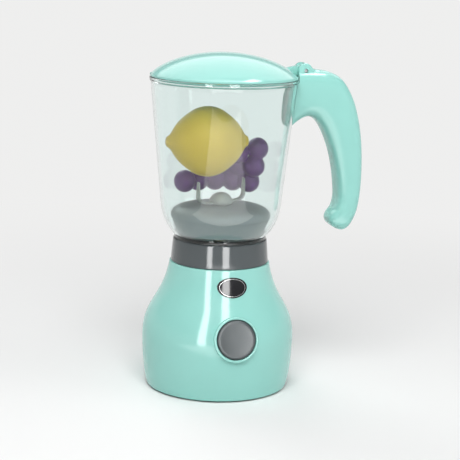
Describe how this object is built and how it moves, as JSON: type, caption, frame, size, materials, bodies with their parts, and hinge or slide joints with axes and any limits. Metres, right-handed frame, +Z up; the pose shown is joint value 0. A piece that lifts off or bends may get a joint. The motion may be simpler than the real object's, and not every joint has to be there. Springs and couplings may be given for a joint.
{
  "type": "toy blender",
  "caption": "Toy blender with a bell-shaped battery base, push button, lift-off clear jar, hooked handle, hinged domed lid, splined blade drive and toy fruit.",
  "frame": {"origin": "on the base's axis at table height, 1.2 mm under the flat face of the battery door", "axes": "+Z up along the base's axis, the push button faces -Y, the handle is at +X"},
  "size_m": [0.1642, 0.1162, 0.2493],
  "materials": {
    "aqua_plastic": "glossy moulded",
    "dark_grey_plastic": "satin moulded",
    "mid_grey_plastic": "satin moulded",
    "pale_grey_plastic": "matt moulded",
    "clear_plastic": "clear, polished",
    "black_plastic": "glossy",
    "black_rubber": "matt",
    "steel": "plated",
    "brass": "turned",
    "cell": "printed sleeve",
    "board": "solder mask",
    "lemon_plastic": "soft satin",
    "grape_plastic": "glossy"
  },
  "bodies": {
    "base": {"base_shell": "aqua_plastic", "base_plate": "dark_grey_plastic", "battery_door": "dark_grey_plastic", "battery_door_screw": "steel", "base_screw_1": "steel", "base_screw_2": "steel", "base_screw_3": "steel", "base_screw_4": "steel", "rubber_foot_1": "black_rubber", "rubber_foot_2": "black_rubber", "rubber_foot_3": "black_rubber", "rubber_foot_4": "black_rubber", "battery_front": "cell", "battery_back": "cell", "contact_bridge": "steel", "contact_spring_plate": "steel", "contact_flat_plate": "steel", "motor": "steel", "motor_bracket": "pale_grey_plastic", "bracket_screw_1": "steel", "bracket_screw_2": "steel", "switch_board": "board", "board_screw_1": "steel", "board_screw_2": "steel", "button_switch": "black_plastic", "lead_cell_to_switch": "black_plastic", "lead_switch_to_motor": "black_plastic", "lead_cell_to_motor": "black_plastic", "badge": "black_plastic"},
    "drive": {"drive_dog": "pale_grey_plastic", "motor_shaft": "steel"},
    "button": {"push_button": "mid_grey_plastic", "switch_plunger": "black_rubber"},
    "jar": {"jar": "clear_plastic", "jar_collar": "dark_grey_plastic", "blade_seat": "mid_grey_plastic", "seat_sleeve": "mid_grey_plastic", "shaft_bush": "brass", "handle_front": "aqua_plastic", "handle_back": "aqua_plastic", "handle_screw_1": "steel", "handle_screw_2": "steel", "handle_screw_3": "steel", "hinge_pin": "steel", "lemon": "lemon_plastic", "grapes": "grape_plastic"},
    "blade": {"blade_set": "mid_grey_plastic", "blade_shaft": "steel", "blade_coupler": "pale_grey_plastic"},
    "lid": {"lid": "aqua_plastic"}
  },
  "joints": [
    {"name": "jar_lift", "type": "slide", "parent": "base", "child": "jar", "axis": [0, 0, 1], "range_m": [0, 0.06]},
    {"name": "drive_spin", "type": "hinge", "parent": "base", "child": "drive", "pos_m": [0, 0, 0.0868], "axis": [0, 0, 1], "continuous": true},
    {"name": "blade_spin", "type": "hinge", "parent": "jar", "child": "blade", "pos_m": [0, 0, 0.1403], "axis": [0, 0, 1], "continuous": true},
    {"name": "button_press", "type": "slide", "parent": "base", "child": "button", "axis": [0, 0.9781, -0.2079], "range_m": [0, 0.0022], "stiffness_N_per_m": 900},
    {"name": "lid_hinge", "type": "hinge", "parent": "jar", "child": "lid", "pos_m": [0.06, 0, 0.2366], "axis": [0, 1, 0], "range_deg": [0, 95]}
  ],
  "couplings": [
    {"joint": "drive_spin", "follows": "blade_spin", "ratio": 1}
  ]
}
